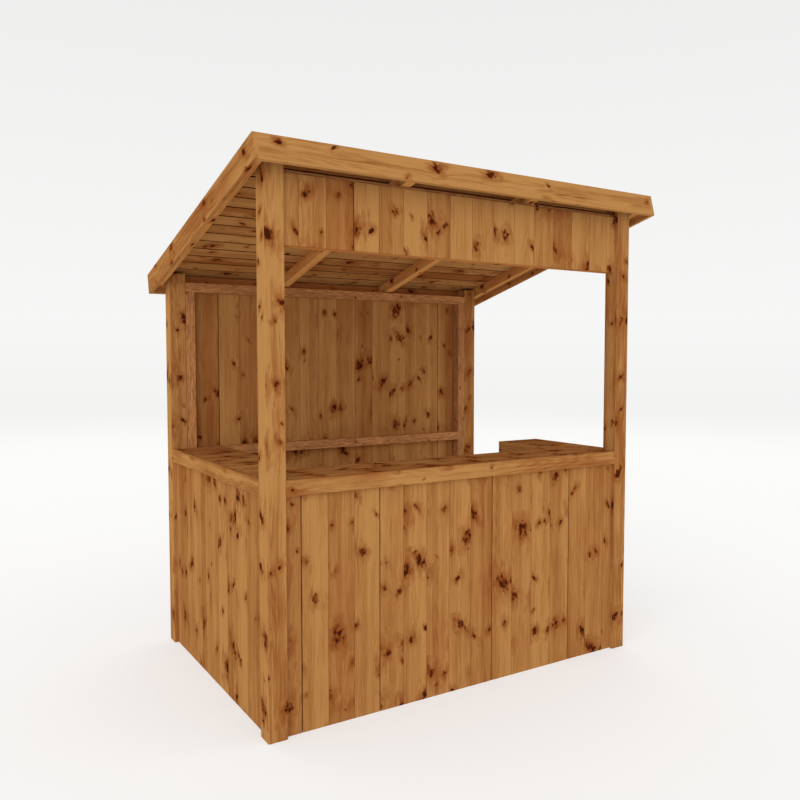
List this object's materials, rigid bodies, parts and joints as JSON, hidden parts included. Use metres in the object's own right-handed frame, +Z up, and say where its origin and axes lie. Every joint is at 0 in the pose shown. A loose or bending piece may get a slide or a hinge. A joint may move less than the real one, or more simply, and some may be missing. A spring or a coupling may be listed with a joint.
{
  "type": "garden bar",
  "caption": "Open timber garden bar with a pent roof, boarded low walls, a counter round three sides and a full-height back wall.",
  "frame": {"origin": "on the ground, at the centre of the whole object's box in plan", "axes": "+Z up, +Y from the serving front towards the back wall, +X to the right as seen from the front"},
  "size_m": [2.271, 1.6428, 2.482],
  "materials": {
    "posts": "planed and stained softwood",
    "wall_boards": "stained tongued and grooved softwood boards",
    "battens": "rough-sawn stained softwood",
    "counter": "planed and stained softwood boards",
    "fascias": "planed and stained softwood",
    "roof_boards": "stained softwood boards",
    "rafters": "planed and stained softwood"
  },
  "bodies": {
    "root": {"front_left_post": "posts", "front_right_post": "posts", "rear_left_post": "posts", "rear_right_post": "posts", "front_wall_boards": "wall_boards", "left_wall_boards": "wall_boards", "right_wall_boards": "wall_boards", "back_wall_boards": "wall_boards", "header_boards": "wall_boards", "front_wall_bottom_rail": "battens", "front_wall_top_rail": "battens", "left_wall_bottom_rail": "battens", "left_wall_top_rail": "battens", "right_wall_bottom_rail": "battens", "right_wall_top_rail": "battens", "entrance_stud": "battens", "back_wall_bottom_rail": "battens", "back_wall_middle_rail": "battens", "back_wall_top_rail": "battens", "back_wall_left_stud": "battens", "back_wall_right_stud": "battens", "header_bottom_rail": "battens", "header_top_rail": "battens", "front_counter_top": "counter", "left_counter_top": "counter", "right_counter_top": "counter", "front_counter_fascia": "fascias", "left_counter_fascia": "fascias", "right_counter_fascia": "fascias", "front_counter_inner_fascia": "fascias", "left_counter_inner_fascia": "fascias", "right_counter_inner_fascia": "fascias", "right_counter_end_fascia": "fascias", "roof_boards": "roof_boards", "front_roof_fascia": "fascias", "rear_roof_fascia": "fascias", "left_bargeboard": "fascias", "right_bargeboard": "fascias", "front_roof_beam": "rafters", "rear_roof_beam": "rafters", "left_edge_rafter": "rafters", "left_rafter": "rafters", "right_rafter": "rafters", "right_edge_rafter": "rafters"}
  },
  "joints": []
}
